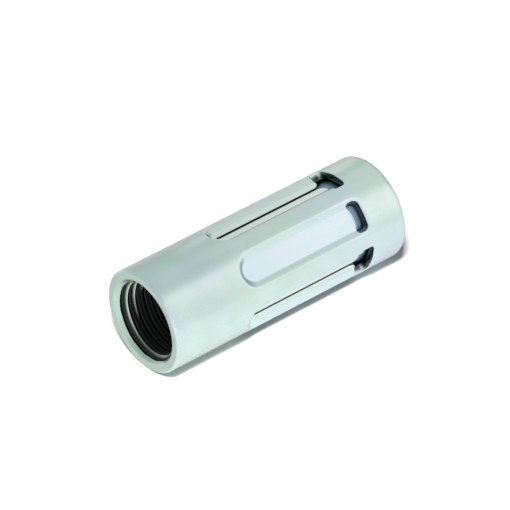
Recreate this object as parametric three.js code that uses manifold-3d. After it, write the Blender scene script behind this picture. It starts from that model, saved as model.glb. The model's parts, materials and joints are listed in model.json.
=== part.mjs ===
// Drawn-cone wall anchor: a fluted steel sleeve with a threaded socket, and the cone nut held inside
// its rear end.
//
// The anchor lies on its side. Its axis runs along +X, the mouth faces -X and +Z is up. The origin is on
// the surface it lies on, below the middle of its length. Lengths are in millimetres.

import * as THREE from 'three';
import { mergeVertices } from 'three/addons/utils/BufferGeometryUtils.js';
import Module from 'manifold-3d';

const wasm = await Module();
wasm.setup();

// ---- Driving dimensions -------------------------------------------------------------------------

// Sleeve
const LENGTH = 40;
const OUTER_RADIUS = 7.5;
const WALL = 1.15;
const MOUTH_CHAMFER = 0.3;
const REAR_FILLET = 0.9;

// Socket: an M12 x 1.25 thread, drawn at its crests
const THREAD_CREST_RADIUS = 5.32;
const COUNTERSINK_RADIUS = 6.26;
const SOCKET_LENGTH = 12.2;
const SOCKET_SHOULDER = 11.4;

// Flutes, slits and windows
const SEGMENTS = 3;
const FLUTE_DEPTH = 0.95;
const FLUTE_FLOOR_HALF_WIDTH = 1.7;
const FLUTE_RIM_HALF_WIDTH = 2.7;
const SLIT_WIDTH = 0.68;
const WINDOW_START = 32.3;
const WINDOW_END = 33.9;
const PLAIN_WINDOW_HALF_ANGLE = THREE.MathUtils.degToRad(17.5);
const SLIT_WINDOW_HALF_ANGLE = THREE.MathUtils.degToRad(22);
const SEGMENT_1_ANGLE = THREE.MathUtils.degToRad(18.5);

// Collar lip, rolled in behind the cone nut
const LIP_RADIUS = 5.5;
const LIP_LENGTH = 0.8;

// Cone nut
const CONE_BASE_RADIUS = 6.05;
const CONE_SLOPE = 0.2;
const CONE_NOSE = 26.15;
const CONE_BASE_START = 33.9;
const CONE_EDGE = 0.4;
const CONE_THREAD_RADIUS = 3.32;
const CONE_THREAD_LEAD = 0.6;

// Clearance between pieces that move past or meet each other
const GAP = 0.3;

// Facets round the axis. Flats, not corners, touch the outer radius, and one of them faces down.
const ROUND_STEPS = 48;
const CORNER_FACTOR = 1 / Math.cos(Math.PI / ROUND_STEPS);
const ARC_STEPS = 3;
const FILLET_STEPS = 4;

// How far a cutting shape runs past what it cuts, and how close two corners are when they are the same
const CUT_OVERRUN = 1;
const MERGE_DISTANCE = 1e-4;

// ---- Placing ------------------------------------------------------------------------------------

// Shapes are made along their own Z from the mouth backwards, with X and Y across; this turns Z to the
// anchor's X.
const alongAnchor = new THREE.Matrix4().makeBasis(
  new THREE.Vector3(0, 1, 0),
  new THREE.Vector3(0, 0, 1),
  new THREE.Vector3(1, 0, 0),
);

const steel = (color) => new THREE.MeshStandardMaterial({ color, roughness: 0.32, metalness: 0.9 });

function place(name, geometry, color) {
  const mesh = new THREE.Mesh(geometry, steel(color));
  mesh.name = name;
  return mesh;
}

// ---- Solids -------------------------------------------------------------------------------------

function toManifold(geometry) {
  const bare = geometry.clone();
  bare.deleteAttribute('normal');
  bare.deleteAttribute('uv');
  const merged = mergeVertices(bare, MERGE_DISTANCE);
  return new wasm.Manifold(new wasm.Mesh({
    numProp: 3,
    vertProperties: new Float32Array(merged.attributes.position.array),
    triVerts: new Uint32Array(merged.index.array),
  }));
}

function toGeometry(manifold) {
  const { vertProperties, triVerts } = manifold.getMesh();
  const geometry = new THREE.BufferGeometry();
  geometry.setAttribute('position', new THREE.BufferAttribute(vertProperties, 3));
  geometry.setIndex(new THREE.BufferAttribute(triVerts, 1));
  return geometry;
}

// A round solid from a closed outline of [radius, distance from the mouth] points.
function turned(outline) {
  const points = outline.map(([radius, distance]) => new THREE.Vector2(radius, distance));
  points.push(points[0].clone());
  const halfStep = Math.PI / ROUND_STEPS;
  const geometry = new THREE.LatheGeometry(points, ROUND_STEPS, halfStep);
  geometry.rotateX(Math.PI / 2);
  return geometry;
}

// A straight solid of one cross-section, between two distances from the mouth.
function extruded(points, start, end) {
  const geometry = new THREE.ExtrudeGeometry(new THREE.Shape(points), {
    depth: end - start,
    bevelEnabled: false,
  });
  geometry.translate(0, 0, start);
  return geometry;
}

// ---- Flutes -------------------------------------------------------------------------------------

const floorDistance = OUTER_RADIUS - FLUTE_DEPTH;
const floorHalfAngle = Math.atan(FLUTE_FLOOR_HALF_WIDTH / floorDistance);
const rimHalfAngle = Math.asin(FLUTE_RIM_HALF_WIDTH / OUTER_RADIUS);
const segmentPitch = (2 * Math.PI) / SEGMENTS;
const flutePitch = segmentPitch / 2;

// Outer radius of the fluted wall at an angle from the middle of a segment's own flute.
function wallRadius(angle) {
  const offset = Math.abs(angle - flutePitch * Math.round(angle / flutePitch));
  if (offset <= floorHalfAngle) {
    return floorDistance / Math.cos(offset);
  }
  if (offset >= rimHalfAngle) {
    return OUTER_RADIUS;
  }
  const floorEdge = floorDistance / Math.cos(floorHalfAngle);
  return THREE.MathUtils.mapLinear(offset, floorHalfAngle, rimHalfAngle, floorEdge, OUTER_RADIUS);
}

// The corners of half a segment's cross-section, from the middle of its flute to the slit beside it.
function halfSegmentAngles() {
  const angles = [0, floorHalfAngle];
  const land = flutePitch - 2 * rimHalfAngle;
  for (let i = 0; i <= ARC_STEPS; i += 1) {
    angles.push(rimHalfAngle + (land * i) / ARC_STEPS);
  }
  const slitHalfAngle = Math.asin(SLIT_WIDTH / 2 / floorDistance);
  angles.push(flutePitch - floorHalfAngle);
  angles.push(flutePitch - slitHalfAngle);
  return angles;
}

function polar(radius, angle) {
  return new THREE.Vector2(radius * Math.cos(angle), radius * Math.sin(angle));
}

// ---- Pieces -------------------------------------------------------------------------------------

function threadedSocket() {
  const rim = OUTER_RADIUS * CORNER_FACTOR;
  const end = SOCKET_LENGTH - GAP / 2;
  const throat = COUNTERSINK_RADIUS - THREAD_CREST_RADIUS;
  return turned([
    [COUNTERSINK_RADIUS, 0],
    [rim - MOUTH_CHAMFER, 0],
    [rim, MOUTH_CHAMFER],
    [rim, end],
    [OUTER_RADIUS - WALL, end],
    [THREAD_CREST_RADIUS, SOCKET_SHOULDER],
    [THREAD_CREST_RADIUS, throat],
  ]);
}

// The cone nut's outline grown by a clearance, from its nose to the end of its cone.
function coneClearance() {
  const baseRadius = CONE_BASE_RADIUS + GAP;
  const noseRadius = baseRadius - CONE_SLOPE * (CONE_BASE_START - CONE_NOSE);
  return turned([
    [0, CONE_NOSE],
    [noseRadius * CORNER_FACTOR, CONE_NOSE],
    [baseRadius * CORNER_FACTOR, CONE_BASE_START],
    [0, CONE_BASE_START],
  ]);
}

function expansionSegment(angle) {
  const half = halfSegmentAngles();
  const across = [...half.slice(1).reverse().map((a) => -a), ...half];
  const outer = across.map((a) => polar(wallRadius(a), angle + a));
  const inner = across.map((a) => polar(wallRadius(a) - WALL, angle + a));
  const start = SOCKET_LENGTH + GAP / 2;
  const end = WINDOW_START - GAP / 2;
  const blank = toManifold(extruded([...outer, ...inner.reverse()], start, end));
  return toGeometry(blank.subtract(toManifold(coneClearance())));
}

// The wedge that a window takes out of the collar's front end.
function windowCut(angle, halfAngle) {
  const reach = OUTER_RADIUS + CUT_OVERRUN;
  const corners = [
    polar(0, angle),
    polar(reach, angle - halfAngle),
    polar(reach, angle + halfAngle),
  ];
  return extruded(corners, WINDOW_START - CUT_OVERRUN, WINDOW_END);
}

function rearCollar() {
  const rim = OUTER_RADIUS * CORNER_FACTOR;
  const bore = OUTER_RADIUS - WALL;
  const outline = [
    [bore * CORNER_FACTOR, WINDOW_START + GAP / 2],
    [rim, WINDOW_START + GAP / 2],
  ];
  for (let i = 0; i <= FILLET_STEPS; i += 1) {
    const turn = ((Math.PI / 2) * i) / FILLET_STEPS;
    outline.push([
      rim - REAR_FILLET * (1 - Math.cos(turn)),
      LENGTH - REAR_FILLET * (1 - Math.sin(turn)),
    ]);
  }
  outline.push([LIP_RADIUS, LENGTH]);
  outline.push([LIP_RADIUS, LENGTH - LIP_LENGTH]);
  outline.push([bore * CORNER_FACTOR, LENGTH - LIP_LENGTH]);
  let collar = toManifold(turned(outline));
  for (let i = 0; i < SEGMENTS; i += 1) {
    const plain = SEGMENT_1_ANGLE + i * segmentPitch;
    const slit = plain + flutePitch;
    collar = collar.subtract(toManifold(windowCut(plain, PLAIN_WINDOW_HALF_ANGLE)));
    collar = collar.subtract(toManifold(windowCut(slit, SLIT_WINDOW_HALF_ANGLE)));
  }
  return toGeometry(collar);
}

function coneNut() {
  const noseRadius = CONE_BASE_RADIUS - CONE_SLOPE * (CONE_BASE_START - CONE_NOSE);
  const end = LENGTH - LIP_LENGTH - GAP;
  const mouth = CONE_THREAD_RADIUS + CONE_THREAD_LEAD;
  return turned([
    [mouth, CONE_NOSE],
    [noseRadius, CONE_NOSE],
    [CONE_BASE_RADIUS, CONE_BASE_START],
    [CONE_BASE_RADIUS, end - CONE_EDGE],
    [CONE_BASE_RADIUS - CONE_EDGE, end],
    [mouth, end],
    [CONE_THREAD_RADIUS, end - CONE_THREAD_LEAD],
    [CONE_THREAD_RADIUS, CONE_NOSE + CONE_THREAD_LEAD],
  ]);
}

// ---- Assembly -----------------------------------------------------------------------------------

const anchor = new THREE.Group();
anchor.add(place('threaded_socket', threadedSocket(), 0xb4c4be));
for (let i = 0; i < SEGMENTS; i += 1) {
  const geometry = expansionSegment(SEGMENT_1_ANGLE + i * segmentPitch);
  anchor.add(place(`expansion_segment_${i + 1}`, geometry, 0xc6d2cd));
}
anchor.add(place('rear_collar', rearCollar(), 0xb4c4be));
anchor.add(place('cone_nut', coneNut(), 0x8f9ea3));

const onSurface = new THREE.Matrix4().makeTranslation(-LENGTH / 2, 0, OUTER_RADIUS);
anchor.applyMatrix4(onSurface.multiply(alongAnchor));

export default anchor;
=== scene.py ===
"""Looks of the drawn-cone wall anchor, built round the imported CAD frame.

Shapes are worked out in millimetres along the anchor's own axis: x is the distance from the mouth, and
s is the arc length round the outer surface from the middle of a segment. `to_row` turns them to the
frame's metres.
"""

import json
import math

import bmesh
import bpy
import numpy as np
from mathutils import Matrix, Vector
from mathutils.geometry import delaunay_2d_cdt


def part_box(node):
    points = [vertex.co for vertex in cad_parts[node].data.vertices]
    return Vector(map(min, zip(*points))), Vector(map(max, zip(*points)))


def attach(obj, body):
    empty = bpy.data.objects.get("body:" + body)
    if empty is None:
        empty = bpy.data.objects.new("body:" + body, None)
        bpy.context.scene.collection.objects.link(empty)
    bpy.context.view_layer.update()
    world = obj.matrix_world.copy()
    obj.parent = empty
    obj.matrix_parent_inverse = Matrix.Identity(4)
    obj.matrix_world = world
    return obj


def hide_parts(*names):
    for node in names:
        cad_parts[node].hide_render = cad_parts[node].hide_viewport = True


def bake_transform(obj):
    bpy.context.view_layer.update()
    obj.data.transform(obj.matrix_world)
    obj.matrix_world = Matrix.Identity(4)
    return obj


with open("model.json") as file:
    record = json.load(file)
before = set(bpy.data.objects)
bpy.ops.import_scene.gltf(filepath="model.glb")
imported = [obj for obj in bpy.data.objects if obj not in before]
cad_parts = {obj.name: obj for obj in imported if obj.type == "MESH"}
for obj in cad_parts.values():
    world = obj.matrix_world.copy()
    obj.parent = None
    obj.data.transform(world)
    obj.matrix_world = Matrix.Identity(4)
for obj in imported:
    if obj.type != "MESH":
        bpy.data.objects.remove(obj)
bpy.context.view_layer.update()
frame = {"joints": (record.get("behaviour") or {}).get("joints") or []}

# ---- Sizes from the frame ------------------------------------------------------------------------

MM = 0.001

# The CAD leaves this gap between the pieces that the one-piece sleeve is divided into.
GAP = 0.3

socket_low, socket_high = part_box("threaded_socket")
collar_low, collar_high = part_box("rear_collar")
cone_low, cone_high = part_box("cone_nut")

MOUTH_X = socket_low.x
AXIS_Z = (socket_low.z + socket_high.z) / 2
RADIUS = (socket_high.z - socket_low.z) / 2 / MM
LENGTH = (collar_high.x - MOUTH_X) / MM
ROOT = (socket_high.x - MOUTH_X) / MM + GAP / 2
TIP = (collar_low.x - MOUTH_X) / MM - GAP / 2
CONE_NOSE = (cone_low.x - MOUTH_X) / MM
CONE_END = (cone_high.x - MOUTH_X) / MM
DRAW = next(j for j in frame["joints"] if j["type"] == "slide")["range_m"][1] / MM
CONE_BASE_RADIUS = (cone_high.z - cone_low.z) / 2 / MM

# ---- Sizes of the detail -------------------------------------------------------------------------

WALL = 1.15

# Socket thread: M12 x 1.25. Its grooves deepen over THREAD_RISE behind THREAD_START, and run out over a
# pitch ahead of THREAD_RUN_OUT. A lower GROOVE_SHAPE makes them wider. Their painted shade sets in below
# the crests at GROOVE_SHADE_FROM and is full GROOVE_SHADE_OVER further down. FIRST_CREST places the helix.
PITCH = 1.25
CREST_RADIUS = 5.32
THREAD_DEPTH = 0.66
FIRST_CREST = 0.3
THREAD_START = 0.1
THREAD_RISE = 0.3
THREAD_RUN_OUT = 1.2
THREAD_ROWS = 20
GROOVE_SHAPE = 0.6
GROOVE_ROUNDING = 0.1
GROOVE_SHADE_FROM = 0.06
GROOVE_SHADE_OVER = 0.25

# The mouth in front of the thread and the relief behind it
COUNTERSINK_RADIUS = 6.26
COUNTERSINK_ROUNDING = 0.5
MOUTH_CHAMFER = 0.3
RIM_ROUNDING = 0.15
SHOULDER = 11.4
RELIEF_SLOPE = 1.8

# Flutes
FLUTE_FLOOR = RADIUS - 0.95
FLUTE_HALF_FLOOR = 1.86
FLUTE_HALF_RIM = 2.68
FLUTE_FRONT = ROOT + 0.25
FLUTE_REAR_RAMP = 1.5
FLUTE_REAR_ROUNDING = 0.3
RAMP_ROUNDING = 0.2

# Slits, each ending in a window, and the plain windows of the segments' own flutes
SLIT_HALF = 0.34
SLIT_START = 13.8
SLIT_WINDOW_HALF = RADIUS * math.radians(22)
SLIT_WINDOW_END = 34.05
SLIT_MOUTH_ROUNDING = 1.15
SLIT_TIP = 32.05
SLIT_TIP_CORNER = 0.35
SLIT_FAR_CORNER = 0.65
PLAIN_WINDOW_HALF = RADIUS * math.radians(17.5)
PLAIN_WINDOW_END = 33.7
PLAIN_TIP = 32.1
PLAIN_TIP_CORNER = 0.35
PLAIN_TIP_BULGE = 0.35
PLAIN_FAR_CORNER = 0.7

# A segment's sheet is made in two parts that meet at SPLIT, and the turned collar starts behind it.
# INSIDE_GAP is kept between it and the cone.
SPLIT = 23.0
COLLAR_START = 34.7
INSIDE_GAP = 0.15

# Rounding of the cut edges, and how far from them the mesh has rows of points to follow it
EDGE_ROUNDING = 0.11
ROUNDING_STEPS = (0.02, 0.05, 0.08, 0.115, 0.17)

# Mesh steps along cut edges, where the sheet curves, and along the straight stretches of the flutes
CUT_STEP = 0.3
FINE_STEP = 0.14
LONG_STEP = 0.45
FRONT_CURVED_TO = 15.8
REAR_CURVED_FROM = 29.5

# How far the grid stays from cut edges and from the sheet's outline
EDGE_CLEARANCE = 0.22
LOOP_CLEARANCE = 0.06

# Cone nut and collar
CONE_SLOPE = 0.2
CONE_BASE_START = 33.9
CONE_THREAD_RADIUS = 3.32
CONE_THREAD_LEAD = 0.75
CONE_NOSE_EDGE = 0.12
CONE_REAR_EDGE = 0.4
LIP_RADIUS = 5.5
LIP_LENGTH = 0.8
LIP_ROUNDING = 0.25
LIP_CORNER = 0.2
REAR_FILLET = 0.9

# Steps round a turned surface, and the arc from the middle of a segment to the slit beside it
AROUND = 160
HALF_PITCH = RADIUS * math.radians(60)


def to_row(x, radius, angle):
    """Row-frame points, in metres, from a distance from the mouth, a radius and an angle."""
    return np.stack(
        [
            MOUTH_X + np.asarray(x) * MM,
            np.asarray(radius) * np.cos(angle) * MM,
            AXIS_Z + np.asarray(radius) * np.sin(angle) * MM,
        ],
        axis=-1,
    )


# ---- Mesh helpers --------------------------------------------------------------------------------

MERGE_DISTANCE = 2e-6
DEGENERATE_DISTANCE = 1e-7


def new_object(name, points, faces, material, sharp_angle=35.0):
    """A closed mesh object with outward faces, shaded smooth but for edges sharper than sharp_angle."""
    mesh = bpy.data.meshes.new(name)
    mesh.from_pydata([tuple(p) for p in points], [], faces)
    work = bmesh.new()
    work.from_mesh(mesh)
    bmesh.ops.remove_doubles(work, verts=work.verts, dist=MERGE_DISTANCE)
    bmesh.ops.dissolve_degenerate(work, edges=work.edges, dist=DEGENERATE_DISTANCE)
    bmesh.ops.recalc_face_normals(work, faces=work.faces)
    limit = math.radians(sharp_angle)
    for edge in work.edges:
        edge.smooth = not (edge.is_manifold and edge.calc_face_angle(0.0) > limit)
    for face in work.faces:
        face.smooth = True
    work.to_mesh(mesh)
    work.free()
    mesh.materials.append(material)
    obj = bpy.data.objects.new(name, mesh)
    bpy.context.scene.collection.objects.link(obj)
    return obj


def add_attribute(mesh, name, domain, values):
    """A named number for every point or face of a mesh."""
    mesh.attributes.new(name, "FLOAT", domain).data.foreach_set("value", values)


def row_x(x):
    """The point on the axis at a distance from the mouth, in metres."""
    return (MOUTH_X + x * MM, 0.0, AXIS_Z)


def ring_faces(rows, columns):
    """Quads of a grid of rows that closes on itself after its last column."""
    faces = []
    for row in range(rows - 1):
        for column in range(columns):
            after = (column + 1) % columns
            faces.append(
                (
                    row * columns + column,
                    row * columns + after,
                    (row + 1) * columns + after,
                    (row + 1) * columns + column,
                )
            )
    return faces


def lathe_points(outline, columns=AROUND):
    """Rows of points of a turned outline of (x, radius) pairs."""
    angles = np.arange(columns) * 2 * math.pi / columns
    rows = [to_row(np.full(columns, x), np.full(columns, r), angles) for x, r in outline]
    return np.concatenate(rows)


def arc(x, radius, size, start, end, steps=6):
    """(x, radius) pairs on a round edge centred at x, radius. Degrees run from +x towards +radius."""
    turns = np.radians(np.linspace(start, end, steps + 1))
    return [(x + size * math.cos(t), radius + size * math.sin(t)) for t in turns]


def thread_rows(start, end, crest, depth, free_radius):
    """Rows that follow a thread's helix, cut off at start and end, never closer in than free_radius."""
    angles = np.arange(AROUND + 1) * 2 * math.pi / AROUND
    before = start - 2 * PITCH + FIRST_CREST
    rows = []
    for row in range(int((end + PITCH - before) / PITCH * THREAD_ROWS)):
        helix = before + row * PITCH / THREAD_ROWS + PITCH * angles / (2 * math.pi)
        x = np.clip(helix, start, end)
        groove = (0.5 - 0.5 * math.cos(2 * math.pi * row / THREAD_ROWS)) ** GROOVE_SHAPE
        fade = thread_fade(x, start, end)
        cut = crest + depth * groove * fade
        free = free_radius(x)
        radius = (cut + free + np.hypot(cut - free, GROOVE_ROUNDING * fade)) / 2
        rows.append(to_row(x, radius, angles))
    return rows


def thread_fade(x, start, end):
    """1 along the thread, rising from 0 behind its start and falling to 0 over its last turn."""
    rise = np.clip((x - start - THREAD_START) / THREAD_RISE, 0, 1)
    return rise * np.clip((end - THREAD_RUN_OUT - x) / PITCH, 0, 1)


def helix_faces(first, rows, columns):
    """Quads between helical rows of columns + 1 points, numbered from first."""
    faces = []
    width = columns + 1
    for row in range(rows - 1):
        for column in range(columns):
            corner = first + row * width + column
            faces.append((corner, corner + 1, corner + width + 1, corner + width))
    return faces


# ---- Materials -----------------------------------------------------------------------------------

# Tint of the metal's reflections at grazing angles
METAL_SPECULAR = (0.72, 0.62, 0.66)

# Noise scales are in cells per metre: clouding, film patches, and drawn lines along and across the axis.
CLOUD_SCALE = 260.0
CLOUD_SPREAD = (0.3, 0.62)
FILM_SCALE = 75.0
FILM_SPREAD = (0.38, 0.62)
FILM_GREEN = (0.985, 1.0, 0.965)
FILM_BLUE = (0.985, 0.965, 1.06)
LINE_SCALE = (60.0, 2400.0, 2400.0)
LINE_SPREAD = (0.3, 0.7)
GLOSSIER = 0.04
DULLER = 0.05
GRAIN_HEIGHT = 0.00002


def plated_steel(name, color, darker, roughness, grain):
    """Bright zinc plating: pale metal with faint clouding, film, drawn lines and uneven gloss."""
    material = bpy.data.materials.new(name)
    material.use_nodes = True
    nodes = material.node_tree.nodes
    links = material.node_tree.links
    shader = nodes["Principled BSDF"]
    shader.inputs["Metallic"].default_value = 1.0
    shader.inputs["Specular Tint"].default_value = (*METAL_SPECULAR, 1)
    place = nodes.new("ShaderNodeTexCoord").outputs["Object"]

    cloud = noise(material, place, CLOUD_SCALE, 4.0, 0.55)
    cloud_share = spread(material, cloud, CLOUD_SPREAD, (0.0, 1.0))
    tint = mix_colors(material, darker, color, cloud_share)

    # Wide, faint patches of bluer and greener film, as clear passivated zinc has
    film = noise(material, place, FILM_SCALE, 1.0)
    film_share = spread(material, film, FILM_SPREAD, (0.0, 1.0))
    film_color = mix_colors(material, FILM_GREEN, FILM_BLUE, film_share)
    links.new(multiply(material, tint, film_color), shader.inputs["Base Color"])

    # Drawn lines run along the axis, so the pattern is squeezed across it.
    stretch = nodes.new("ShaderNodeMapping")
    stretch.inputs["Scale"].default_value = LINE_SCALE
    links.new(place, stretch.inputs["Vector"])
    lines = noise(material, stretch.outputs["Vector"], 1.0, 3.0)
    gloss = spread(material, lines, LINE_SPREAD, (roughness - GLOSSIER, roughness + DULLER))
    links.new(gloss, shader.inputs["Roughness"])

    bump = nodes.new("ShaderNodeBump")
    bump.inputs["Strength"].default_value = grain
    bump.inputs["Distance"].default_value = GRAIN_HEIGHT
    links.new(lines, bump.inputs["Height"])
    links.new(bump.outputs["Normal"], shader.inputs["Normal"])
    return material


def noise(material, place, scale, detail, roughness=0.5):
    """Noise over a place socket."""
    node = material.node_tree.nodes.new("ShaderNodeTexNoise")
    node.inputs["Scale"].default_value = scale
    node.inputs["Detail"].default_value = detail
    node.inputs["Roughness"].default_value = roughness
    material.node_tree.links.new(place, node.inputs["Vector"])
    return node.outputs["Fac"]


def spread(material, value, source, target):
    """A value with the range source stretched to the range target, and cut off outside it."""
    node = material.node_tree.nodes.new("ShaderNodeMapRange")
    node.inputs["From Min"].default_value, node.inputs["From Max"].default_value = source
    node.inputs["To Min"].default_value, node.inputs["To Max"].default_value = target
    material.node_tree.links.new(value, node.inputs["Value"])
    return node.outputs["Result"]


def mix_colors(material, first, second, share):
    """A colour between two fixed ones, as far as share says."""
    node = material.node_tree.nodes.new("ShaderNodeMix")
    node.data_type = "RGBA"
    node.inputs["A"].default_value = (*first, 1)
    node.inputs["B"].default_value = (*second, 1)
    material.node_tree.links.new(share, node.inputs["Factor"])
    return node.outputs["Result"]


def multiply(material, first, second):
    """The product of two colour sockets."""
    node = material.node_tree.nodes.new("ShaderNodeMix")
    node.data_type = "RGBA"
    node.blend_type = "MULTIPLY"
    node.inputs["Factor"].default_value = 1.0
    material.node_tree.links.new(first, node.inputs["A"])
    material.node_tree.links.new(second, node.inputs["B"])
    return node.outputs["Result"]


def base_color_source(material):
    """The node output that feeds a finish's base colour."""
    return material.node_tree.nodes["Principled BSDF"].inputs["Base Color"].links[0].from_socket


def paint_shade_with_depth(material, start, end, least, slant):
    """Paints shade into a finish along the bore: full at one distance from the mouth, darkening to least
    at another.

    Both distances grow by slant for every millimetre above the axis.
    """
    nodes = material.node_tree.nodes
    links = material.node_tree.links
    along = nodes.new("ShaderNodeVectorMath")
    along.operation = "DOT_PRODUCT"
    along.inputs[1].default_value = (1.0, 0.0, -slant)
    links.new(nodes.new("ShaderNodeTexCoord").outputs["Object"], along.inputs[0])
    mouth = MOUTH_X - slant * AXIS_Z
    reach = (mouth + start * MM, mouth + end * MM)
    depth = spread(material, along.outputs["Value"], reach, (1.0, least))
    shade = multiply(material, base_color_source(material), depth)
    links.new(shade, nodes["Principled BSDF"].inputs["Base Color"])


def tone_where(material, attribute, color):
    """Turns a finish towards a colour as far as an attribute of the mesh says."""
    nodes = material.node_tree.nodes
    links = material.node_tree.links
    share = nodes.new("ShaderNodeAttribute")
    share.attribute_name = attribute
    shade = nodes.new("ShaderNodeMix")
    shade.data_type = "RGBA"
    shade.inputs["B"].default_value = (*color, 1)
    links.new(share.outputs["Fac"], shade.inputs["Factor"])
    links.new(base_color_source(material), shade.inputs["A"])
    links.new(shade.outputs["Result"], nodes["Principled BSDF"].inputs["Base Color"])


# Each finish has a lighter and a darker tint, a roughness and a strength of grain.
SLEEVE = plated_steel("zinc_sleeve", (0.61, 0.75, 0.715), (0.565, 0.705, 0.67), 0.30, 0.12)
# Painted shade: the mouth's end face gets a darker copy of the zinc.
MOUTH = plated_steel("zinc_mouth_painted_shade", (0.46, 0.58, 0.51), (0.41, 0.53, 0.46), 0.32, 0.12)
# Painted shade: the bore's finish is a darker copy of the zinc.
BORE = plated_steel("zinc_bore_painted_shade", (0.52, 0.65, 0.58), (0.46, 0.59, 0.52), 0.30, 0.12)
# Painted shade: a near-black finish for the insides of the sheet and the collar.
INSIDE = plated_steel("inside_painted_shade", (0.10, 0.115, 0.11), (0.06, 0.07, 0.07), 0.45, 0.30)
CONE = plated_steel("zinc_cone", (0.21, 0.35, 0.43), (0.16, 0.28, 0.36), 0.34, 0.20)
# Painted shade: the bore darkens deeper in from the mouth.
paint_shade_with_depth(BORE, start=2.6, end=4.2, least=0.02, slant=0.42)
# Painted shade in the thread grooves.
tone_where(BORE, "groove", (0.025, 0.03, 0.028))
# Painted sheen: the flute floors are lighter, and the plain flutes bluer.
tone_where(SLEEVE, "slit_flute_sheen", (0.63, 0.76, 0.73))
tone_where(SLEEVE, "plain_flute_sheen", (0.60, 0.735, 0.78))
# Painted shade on the cut walls of the slits and windows.
tone_where(SLEEVE, "cut_shade", (0.16, 0.19, 0.18))


def finish_piece(obj, body, slot, *nodes):
    """Rides a piece on its body and hides the CAD nodes that it stands for. Its slot is not used."""
    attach(obj, body)
    if nodes:
        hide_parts(*nodes)


# ---- Socket --------------------------------------------------------------------------------------


def socket_opening(x):
    """Radius that the countersink and the relief behind the thread leave open."""
    countersink = COUNTERSINK_RADIUS - x
    relief = CREST_RADIUS + (x - SHOULDER) * RELIEF_SLOPE
    return np.maximum(countersink, np.minimum(relief, RADIUS - WALL))


def build_socket():
    edge = COUNTERSINK_ROUNDING * (1 - math.cos(math.radians(45)))
    ring_inner = COUNTERSINK_RADIUS + edge * math.sqrt(2)
    rim_shift = 0.06
    outline = arc(COUNTERSINK_ROUNDING, ring_inner, COUNTERSINK_ROUNDING, 225, 180, 6)
    outline += [(0.0, ring_inner + 0.05)]
    outline += [(0.0, RADIUS - MOUTH_CHAMFER - 2 * rim_shift)]
    outline += arc(RIM_ROUNDING, RADIUS - MOUTH_CHAMFER - rim_shift, RIM_ROUNDING, 180, 135, 4)
    outline += arc(MOUTH_CHAMFER + rim_shift, RADIUS - RIM_ROUNDING, RIM_ROUNDING, 135, 90, 4)
    outline += [(x, RADIUS) for x in np.linspace(MOUTH_CHAMFER + 0.4, ROOT, 24)]
    outline += [(ROOT, RADIUS - WALL)]
    points = lathe_points(outline)
    faces = ring_faces(len(outline), AROUND)
    rows = thread_rows(edge, ROOT, CREST_RADIUS, THREAD_DEPTH, socket_opening)
    faces += helix_faces(len(points), len(rows), AROUND)
    points = np.concatenate([points, *rows])
    obj = new_object("socket_shell", points, faces, SLEEVE, 50.0)
    finish_socket(obj.data)
    finish_piece(obj, "sleeve", "sleeve_zinc", "threaded_socket")


def finish_socket(mesh):
    """Sets the bore's and the mouth ring's darker finishes, painted shade, and marks how deep in a groove
    each point is for the grooves' painted shade.
    """
    mesh.materials.append(BORE)
    mesh.materials.append(MOUTH)
    for face in mesh.polygons:
        is_square_on = face.normal.x < -0.85
        if math.hypot(face.center.y, face.center.z - AXIS_Z) < COUNTERSINK_RADIUS * MM:
            face.material_index = 1
        elif is_square_on and face.center.x < row_x(MOUTH_CHAMFER)[0]:
            face.material_index = 2
    # How far below the crests each point lies, for the painted shade in the grooves.
    groove = []
    for vertex in mesh.vertices:
        x = (vertex.co.x - MOUTH_X) / MM
        reach = math.hypot(vertex.co.y, vertex.co.z - AXIS_Z) / MM
        below_crest = reach - max(CREST_RADIUS, COUNTERSINK_RADIUS - x)
        groove.append(np.clip((below_crest - GROOVE_SHADE_FROM) / GROOVE_SHADE_OVER, 0, 1))
    add_attribute(mesh, "groove", "POINT", groove)


# ---- Fluted sheet --------------------------------------------------------------------------------


def soft_ramp(value, rounding):
    """0 below 0, value up to 1, then 1, with both corners rounded."""
    low = soft_floor(np.asarray(value, float), rounding)
    return 1.0 - soft_floor(1.0 - low, rounding)


def soft_floor(value, rounding):
    """0 below 0 and value above it, with the corner rounded."""
    curve = (value + rounding) ** 2 / (4 * rounding)
    return np.where(value < -rounding, 0.0, np.where(value > rounding, value, curve))


def flute_depth(x, s):
    """How far the flutes press the outer surface in."""
    depth = np.zeros(np.broadcast(x, s).shape)
    for across in (np.abs(s), HALF_PITCH - np.abs(s)):
        # The floor is flat. The angle is capped well outside the flute, where the floor has ended.
        flat = RADIUS - FLUTE_FLOOR / np.cos(np.minimum(np.abs(across) / RADIUS, 0.5))
        depth = np.maximum(depth, flute_share(x, across) * flat)
    return depth


def flute_share(x, across):
    """0 on the lands, 1 on the floor of the flute whose middle is a distance across away."""
    ahead = np.maximum(FLUTE_FRONT + FLUTE_HALF_RIM - x, 0.0)
    reach = np.hypot(across, ahead)
    ramp = soft_ramp((FLUTE_HALF_RIM - reach) / (FLUTE_HALF_RIM - FLUTE_HALF_FLOOR), RAMP_ROUNDING)
    return ramp * (1.0 - soft_ramp((x - TIP) / FLUTE_REAR_RAMP, FLUTE_REAR_ROUNDING))


def outer_radius(x, s):
    """The wall's outside."""
    return RADIUS - flute_depth(x, s)


def inner_radius(x, s):
    """The wall's inside, cut back near the tips to clear the cone.

    A drawn cone lifts a segment straight out, so the gap grows towards the segment's slit edges.
    """
    gap = INSIDE_GAP + CONE_SLOPE * DRAW * (1 - np.cos(s / RADIUS))
    cone = CONE_BASE_RADIUS + gap - CONE_SLOPE * (CONE_BASE_START - x)
    return np.minimum(np.maximum(outer_radius(x, s) - WALL, cone), RADIUS - WALL)


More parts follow.
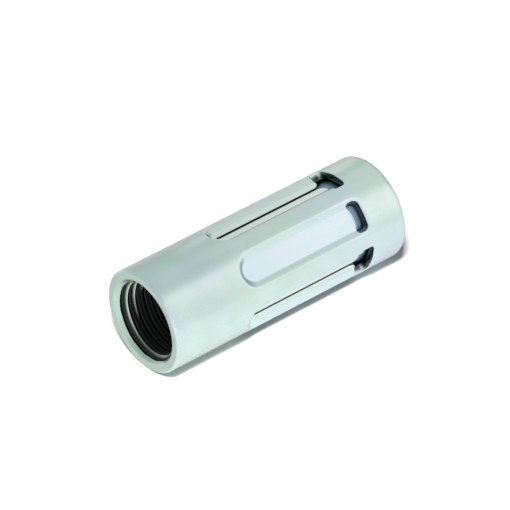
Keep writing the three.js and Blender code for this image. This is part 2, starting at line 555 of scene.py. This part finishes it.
def polyline_distance(points, path):
    """Distance from each point to the nearest stretch of the paths, each a list of (x, s)."""
    best = np.full(len(points), 1e9)
    for line in path:
        line = np.asarray(line, float)
        for a, b in zip(line[:-1], line[1:]):
            d = b - a
            t = np.clip(((points - a) @ d) / max(d @ d, 1e-12), 0, 1)
            best = np.minimum(best, np.linalg.norm(points - (a + t[:, None] * d), axis=1))
    return best


def inside(points, loop):
    """Whether each point is inside a closed loop of (x, s)."""
    loop = np.asarray(loop, float)
    found = np.zeros(len(points), bool)
    for (x0, s0), (x1, s1) in zip(loop, np.roll(loop, -1, axis=0)):
        if s0 == s1:
            continue
        crosses = (points[:, 1] < max(s0, s1)) & (points[:, 1] >= min(s0, s1))
        found ^= crosses & (points[:, 0] < x0 + (points[:, 1] - s0) * (x1 - x0) / (s1 - s0))
    return found


def divide(line, step):
    """The same line with points no further than step apart."""
    out = [tuple(line[0])]
    for a, b in zip(line[:-1], line[1:]):
        count = max(1, math.ceil(math.dist(a, b) / step))
        for i in range(1, count + 1):
            out.append((a[0] + (b[0] - a[0]) * i / count, a[1] + (b[1] - a[1]) * i / count))
    return out


def near_ends(line):
    """The same line with extra points close to its ends, to follow the rounding of a cut edge there."""

    def steps(a, b):
        shares = [distance / math.dist(a, b) for distance in ROUNDING_STEPS]
        return [(a[0] + (b[0] - a[0]) * share, a[1] + (b[1] - a[1]) * share) for share in shares]

    first = steps(line[0], line[1])
    last = steps(line[-1], line[-2])
    return [line[0], *first, *line[1:-1], *reversed(last), line[-1]]


def bend(cx, cs, size, start, end, steps=8):
    """Points on a round corner in the sheet: centre (cx, cs), angles in degrees from +x towards +s."""
    turns = np.radians(np.linspace(start, end, steps + 1))
    return [(cx + size * math.cos(t), cs + size * math.sin(t)) for t in turns]


def front_outline():
    """Half of a segment's front part, in order round it: pairs of a line and whether it is a cut edge."""
    edge = HALF_PITCH - SLIT_HALF
    slit_end = bend(SLIT_START + SLIT_HALF, HALF_PITCH, SLIT_HALF, 180, 270)
    return [
        ([(ROOT, 0.0), (ROOT, HALF_PITCH), (SLIT_START, HALF_PITCH)], False),
        (slit_end + [(SPLIT, edge)], True),
        ([(SPLIT, edge), (SPLIT, 0.0)], False),
    ]


def rear_outline():
    """Half of a segment's rear part: half its own window, the land and half the window at the slit."""
    edge = HALF_PITCH - SLIT_HALF
    behind = [
        (SLIT_WINDOW_END, HALF_PITCH),
        (COLLAR_START, HALF_PITCH),
        (COLLAR_START, 0.0),
        (PLAIN_WINDOW_END, 0.0),
    ]
    return [
        ([(SPLIT, 0.0), (SPLIT, edge)], False),
        (slit_window_line(edge), True),
        (behind, False),
        (plain_window_line(), True),
    ]


def slit_window_line(edge):
    """From the slit's edge round half of the window that it ends in."""
    side = HALF_PITCH - SLIT_WINDOW_HALF
    mouth = SLIT_MOUTH_ROUNDING
    tip = SLIT_TIP_CORNER
    far = SLIT_FAR_CORNER
    line = [(SPLIT, edge)]
    line += bend(SLIT_TIP - mouth, edge - mouth, mouth, 90, 0, 14)
    line += bend(SLIT_TIP + tip, side + tip, tip, 180, 270)
    line += bend(SLIT_WINDOW_END - far, side + far, far, 270, 360)
    line += [(SLIT_WINDOW_END, HALF_PITCH)]
    return line


def plain_window_line():
    """Half of the window of a segment's own flute, from its rear end round to the segment's tip."""
    side = PLAIN_WINDOW_HALF
    far = PLAIN_FAR_CORNER
    bulge_half = side - PLAIN_TIP_CORNER
    line = [(PLAIN_WINDOW_END, 0.0)]
    line += bend(PLAIN_WINDOW_END - far, side - far, far, 0, 90)
    line += bend(PLAIN_TIP + PLAIN_TIP_CORNER, bulge_half, PLAIN_TIP_CORNER, 90, 180)
    for s in np.linspace(bulge_half, 0.0, 14)[1:]:
        line.append((PLAIN_TIP + PLAIN_TIP_BULGE * (1 - (s / bulge_half) ** 2), s))
    return line


def grid_positions(stops, steps):
    """Positions through the stops, with each stretch cut into steps of about the given size."""
    out = [stops[0]]
    for a, b, step in zip(stops[:-1], stops[1:], steps):
        count = max(1, round((b - a) / step))
        out += [a + (b - a) * i / count for i in range(1, count + 1)]
    return out


def sheet_piece(name, outline, x_stops, x_steps, turn):
    """One closed, rolled piece of fluted sheet from half its flat outline; turn is its middle's angle."""
    cuts = [divide(line, CUT_STEP) for line, is_cut in outline if is_cut]
    loop = closed_loop(outline)
    grid = inner_grid(cuts, loop, x_stops, x_steps)
    flat = np.concatenate([np.array(loop), *rows_beside(cuts, loop), grid])

    edges = [(i, (i + 1) % len(loop)) for i in range(len(loop))]
    found = delaunay_2d_cdt([Vector(p) for p in flat], edges, [], 1, 1e-7)
    half = np.array([tuple(v) for v in found[0]])
    total, triangles = mirrored(half, [tuple(f) for f in found[2]])

    near = polyline_distance(np.abs(total), cuts)
    rounding = np.clip(EDGE_ROUNDING - near, 0, EDGE_ROUNDING)
    drop = EDGE_ROUNDING - np.sqrt(EDGE_ROUNDING**2 - rounding**2)
    x, s = total[:, 0], total[:, 1]
    angles = turn + s / RADIUS
    outer = outer_radius(x, s) - drop
    inner = inner_radius(x, s) + drop * 0.5
    points = np.concatenate([to_row(x, outer, angles), to_row(x, inner, angles)])
    faces, kinds = skin_faces(triangles, len(total))
    return surface_object(name, points, faces, kinds, (x, s, near, angles))


def closed_loop(outline):
    """The outline's lines joined into one loop, with points near every cut edge."""
    loop = []
    for line, is_cut in outline:
        loop += divide(line if is_cut else near_ends(line), CUT_STEP)[:-1]
    loop += divide(near_ends([outline[-1][0][-1], loop[0]]), FINE_STEP)[:-1]
    return [p for i, p in enumerate(loop) if i == 0 or math.dist(p, loop[i - 1]) > 1e-6]


def rows_beside(cuts, loop):
    """Rows of points beside the cut edges, inside the loop, for the edges' rounding to follow."""
    rows = []
    for line in cuts:
        line = np.asarray(line)
        ahead = np.gradient(line, axis=0)
        side = np.stack([-ahead[:, 1], ahead[:, 0]], axis=1)
        side /= np.linalg.norm(side, axis=1)[:, None] + 1e-12
        for distance in ROUNDING_STEPS:
            for way in (-1, 1):
                row = line + side * way * distance
                # In tight corners a row runs back towards its own edge, and those points are left out.
                keep = inside(row, loop) & (polyline_distance(row, cuts) > distance * 0.97)
                keep &= (row[:, 1] > 0.02) & (polyline_distance(row, [loop + [loop[0]]]) > 0.015)
                rows.append(row[keep])
    return rows


def inner_grid(cuts, loop, x_stops, x_steps):
    """Grid points inside the loop, clear of its line and of the rows beside the cut edges."""
    xs = grid_positions(x_stops, x_steps)
    ss = grid_positions([0.0, HALF_PITCH], [FINE_STEP])
    grid = np.array([(x, s) for x in xs for s in ss])
    keep = inside(grid, loop) & (polyline_distance(grid, cuts) > EDGE_CLEARANCE)
    keep &= polyline_distance(grid, [loop + [loop[0]]]) > LOOP_CLEARANCE
    return grid[keep]


def mirrored(half, triangles):
    """Flat points and triangles together with their mirror image across the middle line."""
    on_middle = np.abs(half[:, 1]) < 1e-6
    half[on_middle, 1] = 0.0
    mirror = {}
    total = list(map(tuple, half))
    for i, (x, s) in enumerate(half):
        if on_middle[i]:
            mirror[i] = i
        else:
            mirror[i] = len(total)
            total.append((x, -s))
    other = [tuple(mirror[i] for i in reversed(t)) for t in triangles]
    return np.array(total), triangles + other


# Kinds of a sheet's faces
CUT, OUTER, INNER = 0, 1, 2


def skin_faces(triangles, count):
    """Faces of the sheet's two skins and of the walls between them, with the kind of each."""
    faces = [tuple(reversed(t)) for t in triangles]
    faces += [tuple(i + count for i in t) for t in triangles]
    kinds = [OUTER] * len(triangles) + [INNER] * len(triangles)
    once = {}
    for t in triangles:
        for a, b in zip(t, t[1:] + t[:1]):
            key = (min(a, b), max(a, b))
            once[key] = None if key in once else (a, b)
    for pair in once.values():
        if pair:
            a, b = pair
            faces.append((a, b, b + count, a + count))
            kinds.append(CUT)
    return faces, kinds


def surface_object(name, points, faces, kinds, flat):
    """The mesh object of a rolled sheet, with exact normals away from its cut edges."""
    x, s, near, angles = flat
    mesh = bpy.data.meshes.new(name)
    mesh.from_pydata([tuple(p) for p in points], [], faces)
    work = bmesh.new()
    work.from_mesh(mesh)
    bmesh.ops.recalc_face_normals(work, faces=work.faces)
    for edge in work.edges:
        edge.smooth = not (edge.is_manifold and edge.calc_face_angle(0.0) > math.radians(60))
    for face in work.faces:
        face.smooth = True
    work.to_mesh(mesh)
    work.free()

    normals = {
        OUTER: skin_normals(outer_radius, x, s, angles),
        INNER: -skin_normals(inner_radius, x, s, angles),
    }
    corners = []
    for face, kind in zip(mesh.polygons, kinds):
        for vertex in face.vertices:
            i = vertex % len(x)
            # A zero normal leaves the corner as it is shaded without one.
            is_exact = kind != CUT and near[i] > EDGE_ROUNDING * 1.01
            corners.append(tuple(normals[kind][i]) if is_exact else (0.0, 0.0, 0.0))
    mesh.normals_split_custom_set(corners)
    finish_sheet(mesh, kinds, x, s)
    obj = bpy.data.objects.new(name, mesh)
    bpy.context.scene.collection.objects.link(obj)
    return obj


def skin_normals(radius_of, x, s, angles):
    """Outward normals of the surface that a function of x and s gives the radius of."""
    step = 0.01
    along = (radius_of(x + step, s) - radius_of(x - step, s)) / (2 * step)
    radius = radius_of(x, s)
    round_ = (radius_of(x, s + step) - radius_of(x, s - step)) / (2 * step) * RADIUS / radius
    across = np.cos(angles) + round_ * np.sin(angles)
    up = np.sin(angles) - round_ * np.cos(angles)
    out = np.stack([-along, across, up], axis=1)
    return out / np.linalg.norm(out, axis=1)[:, None]


def finish_sheet(mesh, kinds, x, s):
    """Sets the finishes of a sheet's two skins, the inner one near-black for painted shade, and the
    painted tones of its cut walls and pressed flutes.

    Slits are painted dark all over with shade. A window's wall is plated, with painted shade that darkens
    it the more it faces the mouth. The flute floors get a lighter, bluer painted sheen.
    """
    mesh.materials.append(SLEEVE)
    mesh.materials.append(INSIDE)
    # A slit counts as window from where it flares out to the segment's tip.
    window_start = row_x(SLIT_TIP - 0.6 * SLIT_MOUTH_ROUNDING)[0]
    cut_shade = []
    for face, kind in zip(mesh.polygons, kinds):
        face.material_index = 1 if kind == INNER else 0
        facing = np.clip((-face.normal.x - 0.25) / 0.65, 0, 1)
        shade = facing if face.center.x > window_start else 1.0
        cut_shade.append(shade if kind == CUT else 0.0)
    add_attribute(mesh, "cut_shade", "FACE", cut_shade)
    # How far each point lies on a flute floor, for the painted sheen there.
    for tone, across in (("plain_flute_sheen", np.abs(s)), ("slit_flute_sheen", HALF_PITCH - np.abs(s))):
        add_attribute(mesh, tone, "POINT", np.tile(flute_share(x, across) ** 2, 2))


def build_segments():
    """Each segment's skin, in a front part that starts at the socket and a rear one that runs into the
    collar.
    """
    hinges = [j for j in frame["joints"] if j["type"] == "hinge"]
    for number, hinge in enumerate(hinges, 1):
        place = hinge["pos_m"]
        turn = math.atan2(place[2] - AXIS_Z, place[1])
        front = sheet_piece(
            f"segment_{number}_root",
            front_outline(),
            [ROOT, FRONT_CURVED_TO, SPLIT],
            [FINE_STEP, LONG_STEP],
            turn,
        )
        rear = sheet_piece(
            f"segment_{number}_tip",
            rear_outline(),
            [SPLIT, REAR_CURVED_FROM, COLLAR_START],
            [LONG_STEP, FINE_STEP],
            turn,
        )
        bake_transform(front)
        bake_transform(rear)
        for piece in (front, rear):
            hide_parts(f"expansion_segment_{number}")


# ---- Collar --------------------------------------------------------------------------------------


def build_collar():
    inside_radius = RADIUS - WALL
    lip_start = LENGTH - LIP_LENGTH
    fillet_start = LENGTH - REAR_FILLET
    outline = [(COLLAR_START, inside_radius), (COLLAR_START, RADIUS)]
    outline += [(x, RADIUS) for x in np.linspace(COLLAR_START + 0.3, fillet_start - 0.2, 10)]
    outline += arc(fillet_start, RADIUS - REAR_FILLET, REAR_FILLET, 90, 0, 14)
    outline += arc(LENGTH - LIP_ROUNDING, LIP_RADIUS + LIP_ROUNDING, LIP_ROUNDING, 0, -90, 6)
    outline += [(lip_start, LIP_RADIUS)]
    outline += [(lip_start, inside_radius - LIP_CORNER), (lip_start - LIP_CORNER, inside_radius)]
    outline += [(COLLAR_START, inside_radius)]
    points = lathe_points(outline)
    obj = new_object("collar_shell", points, ring_faces(len(outline), AROUND), SLEEVE)
    # The collar's bore gets the near-black inside finish: painted shade.
    obj.data.materials.append(INSIDE)
    for face in obj.data.polygons:
        reach = math.hypot(face.center.y, face.center.z - AXIS_Z)
        if reach < (inside_radius + 0.01) * MM and face.center.x < row_x(lip_start + 0.01)[0]:
            face.material_index = 1
    finish_piece(obj, "sleeve", "sleeve_zinc", "rear_collar")


# ---- Cone nut ------------------------------------------------------------------------------------


def cone_opening(x):
    """Radius that the leads at both ends of the cone nut's thread leave open."""
    lead = CONE_THREAD_RADIUS + CONE_THREAD_LEAD
    return np.maximum(lead - (x - CONE_NOSE), lead - (CONE_END - x))


def build_cone():
    nose_radius = CONE_BASE_RADIUS - CONE_SLOPE * (CONE_BASE_START - CONE_NOSE)
    lead = CONE_THREAD_RADIUS + CONE_THREAD_LEAD
    outline = [(CONE_NOSE, lead), (CONE_NOSE, nose_radius - CONE_NOSE_EDGE)]
    outline += [(CONE_NOSE + CONE_NOSE_EDGE, nose_radius)]
    for x in np.linspace(CONE_NOSE + 0.4, CONE_BASE_START, 12):
        outline.append((x, CONE_BASE_RADIUS - CONE_SLOPE * (CONE_BASE_START - x)))
    outline += [(x, CONE_BASE_RADIUS) for x in np.linspace(CONE_BASE_START + 0.2, CONE_END - 0.5, 6)]
    edge = CONE_REAR_EDGE
    outline += arc(CONE_END - edge, CONE_BASE_RADIUS - edge, edge, 90, 0, 6)
    outline += [(CONE_END, lead)]
    points = lathe_points(outline)
    faces = ring_faces(len(outline), AROUND)
    rows = thread_rows(CONE_NOSE, CONE_END, CONE_THREAD_RADIUS, THREAD_DEPTH, cone_opening)
    faces += helix_faces(len(points), len(rows), AROUND)
    points = np.concatenate([points, *rows])
    obj = new_object("cone_shell", points, faces, CONE, 50.0)
    finish_piece(obj, "cone", "cone_steel", "cone_nut")


# ---- Floor, light and camera ---------------------------------------------------------------------

# Lengths are in metres from here on.
FLOOR_SIZE = 1.2


def build_floor():
    mesh = bpy.data.meshes.new("floor")
    low, high = -FLOOR_SIZE, FLOOR_SIZE
    corners = [(low, low, 0), (high, low, 0), (high, high, 0), (low, high, 0)]
    mesh.from_pydata(corners, [], [(0, 1, 2, 3)])
    floor = bpy.data.objects.new("floor", mesh)
    bpy.context.scene.collection.objects.link(floor)
    material = bpy.data.materials.new("pale_floor")
    material.use_nodes = True
    shader = material.node_tree.nodes["Principled BSDF"]
    shader.inputs["Base Color"].default_value = (0.92, 0.92, 0.92, 1)
    shader.inputs["Roughness"].default_value = 0.9
    shader.inputs["Specular IOR Level"].default_value = 0.1
    mesh.materials.append(material)


def area_light(name, place, target, size, power):
    data = bpy.data.lights.new(name, "AREA")
    data.shape = "RECTANGLE"
    data.size, data.size_y = size
    data.energy = power
    lamp = bpy.data.objects.new(name, data)
    lamp.location = place
    lamp.rotation_euler = (Vector(target) - Vector(place)).to_track_quat("-Z", "Y").to_euler()
    bpy.context.scene.collection.objects.link(lamp)
    return lamp


# The tent goes from bright to grey at an angle of TENT_EDGE about the anchor, over a band of TENT_BLUR.
BRIGHT_SIDE = (1.0, 0.98, 0.98)
DARK_SIDE = (0.65, 0.725, 0.69)
TENT_EDGE = math.radians(110)
TENT_BLUR = 0.04

# How strongly the tent lights the floor, against how strongly the steel reflects it
TENT_DIFFUSE = 0.16

KEY_PLACE = (-0.66, -0.69, 1.32)
KEY_SIZE = (0.21, 0.21)
KEY_POWER = 34.8

# Cards beside, above and behind the rear half: which way each lies from the anchor, the x in metres of the
# place on the axis that it faces, how far off it is, its size and its radiance
CARD_COLOR = (1.0, 0.72, 0.74)
CARDS = {
    "side_card": ((0.5, -0.60, 0.62), 0.012, 0.075, (0.05, 0.09), 0.30),
    "top_card": ((0.5, 0.22, 0.84), 0.014, 0.075, (0.055, 0.05), 0.20),
    "back_card": ((0.5, 0.80, 0.33), 0.003, 0.050, (0.026, 0.022), 0.50),
}


def build_light():
    """A light tent that the steel reflects, a key light that only the floor shows, and pale cards."""
    world = bpy.data.worlds.new("studio")
    world.use_nodes = True
    nodes = world.node_tree.nodes
    links = world.node_tree.links
    place = nodes.new("ShaderNodeTexCoord")
    split = nodes.new("ShaderNodeVectorMath")
    split.operation = "DOT_PRODUCT"
    split.inputs[1].default_value = (0.0, math.sin(TENT_EDGE), -math.cos(TENT_EDGE))
    links.new(place.outputs["Generated"], split.inputs[0])
    edge = nodes.new("ShaderNodeMapRange")
    edge.inputs["From Min"].default_value = -TENT_BLUR
    edge.inputs["From Max"].default_value = TENT_BLUR
    links.new(split.outputs["Value"], edge.inputs["Value"])
    tent = nodes.new("ShaderNodeMix")
    tent.data_type = "RGBA"
    tent.inputs["A"].default_value = (*BRIGHT_SIDE, 1)
    tent.inputs["B"].default_value = (*DARK_SIDE, 1)
    links.new(edge.outputs["Result"], tent.inputs["Factor"])
    links.new(tent.outputs["Result"], nodes["Background"].inputs["Color"])
    bounce = nodes.new("ShaderNodeLightPath")
    strength = nodes.new("ShaderNodeMapRange")
    strength.inputs["To Min"].default_value = 1.0
    strength.inputs["To Max"].default_value = TENT_DIFFUSE
    links.new(bounce.outputs["Is Diffuse Ray"], strength.inputs["Value"])
    links.new(strength.outputs["Result"], nodes["Background"].inputs["Strength"])
    bpy.context.scene.world = world
    key = area_light("key", KEY_PLACE, (0, 0, 0), KEY_SIZE, KEY_POWER)
    key.visible_glossy = False
    for name, card in CARDS.items():
        add_card(name, *card)


def add_card(name, way, faced_x, distance, size, radiance):
    """A pale card that only reflections see."""
    faced = Vector((faced_x, 0, AXIS_Z))
    centre = faced + Vector(way).normalized() * distance
    card = area_light(name, centre, faced, size, radiance * math.pi * size[0] * size[1])
    card.data.color = CARD_COLOR
    card.visible_camera = False
    card.visible_diffuse = False


# The camera looks at the middle of the axis from this way and distance. The picture takes in FRAME_WIDTH
# times the anchor's length.
AZIMUTH = math.radians(-39.6)
ELEVATION = math.radians(38.3)
DISTANCE = 0.60
FRAME_WIDTH = 1.714
SENSOR_WIDTH = 36.0
SHIFT = (-0.0078, 0.0151)


def build_camera():
    data = bpy.data.cameras.new("camera")
    camera = bpy.data.objects.new("camera", data)
    bpy.context.scene.collection.objects.link(camera)
    back = Vector(
        (
            math.sin(AZIMUTH) * math.cos(ELEVATION),
            -math.cos(AZIMUTH) * math.cos(ELEVATION),
            math.sin(ELEVATION),
        )
    )
    target = Vector((0, 0, AXIS_Z))
    data.sensor_width = SENSOR_WIDTH
    data.lens = SENSOR_WIDTH * DISTANCE / (FRAME_WIDTH * LENGTH * MM)
    data.clip_start = 0.01
    data.shift_x, data.shift_y = SHIFT
    camera.location = target + back * DISTANCE
    camera.rotation_euler = (-back).to_track_quat("-Z", "Y").to_euler()
    bpy.context.scene.camera = camera


build_camera()
build_socket()
build_segments()
build_collar()
build_cone()
build_floor()
build_light()
bpy.context.scene.view_settings.view_transform = "Standard"
